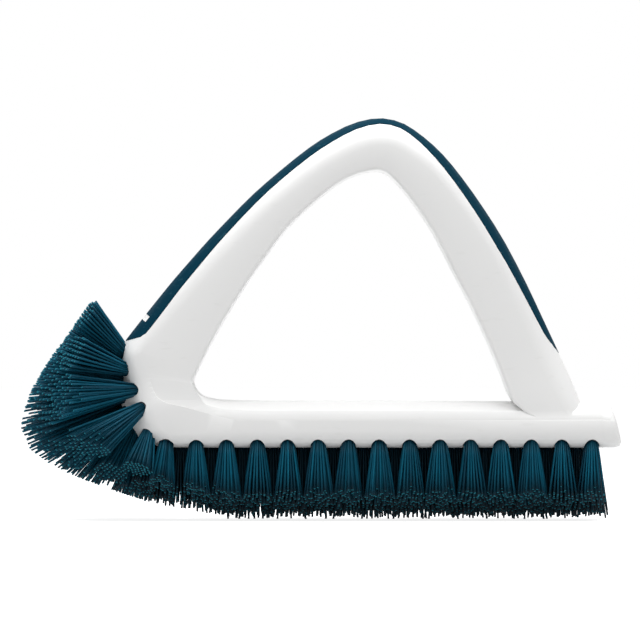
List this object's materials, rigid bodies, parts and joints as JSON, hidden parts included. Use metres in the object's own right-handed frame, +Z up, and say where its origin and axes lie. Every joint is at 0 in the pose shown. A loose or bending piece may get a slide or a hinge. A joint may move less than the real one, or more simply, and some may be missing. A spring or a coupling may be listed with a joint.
{
  "type": "grout brush",
  "caption": "Hand scrubbing brush: narrow white tufted block, closed loop handle with a soft spine grip, V-trimmed stiff tufts under the base and fanned round the nose.",
  "frame": {"origin": "centre of the brush's footprint on the plane that the lowest bristle tips stand on", "axes": "+X along the brush from the bristled nose to the rear end, +Y across it, +Z up from the bristle tips to the handle"},
  "size_m": [0.2158, 0.0522, 0.1442],
  "materials": {
    "white_body": "satin moulded white",
    "soft_grip": "matt soft-touch dark teal",
    "bristle": "extruded teal filament"
  },
  "bodies": {
    "root": {"handle": "white_body", "brush_block": "white_body", "grip_strip": "soft_grip", "tuft_row_near": "bristle", "tuft_row_mid_near": "bristle", "tuft_row_centre": "bristle", "tuft_row_mid_far": "bristle", "tuft_row_far": "bristle", "nose_tuft_near_1": "bristle", "nose_tuft_near_2": "bristle", "nose_tuft_near_3": "bristle", "nose_tuft_near_4": "bristle", "nose_tuft_mid_near_1": "bristle", "nose_tuft_mid_near_2": "bristle", "nose_tuft_mid_near_3": "bristle", "nose_tuft_mid_near_4": "bristle", "nose_tuft_mid_near_5": "bristle", "nose_tuft_centre_1": "bristle", "nose_tuft_centre_2": "bristle", "nose_tuft_centre_3": "bristle", "nose_tuft_centre_4": "bristle", "nose_tuft_centre_5": "bristle", "nose_tuft_mid_far_1": "bristle", "nose_tuft_mid_far_2": "bristle", "nose_tuft_mid_far_3": "bristle", "nose_tuft_mid_far_4": "bristle", "nose_tuft_mid_far_5": "bristle", "nose_tuft_far_1": "bristle", "nose_tuft_far_2": "bristle", "nose_tuft_far_3": "bristle", "nose_tuft_far_4": "bristle"}
  },
  "joints": []
}
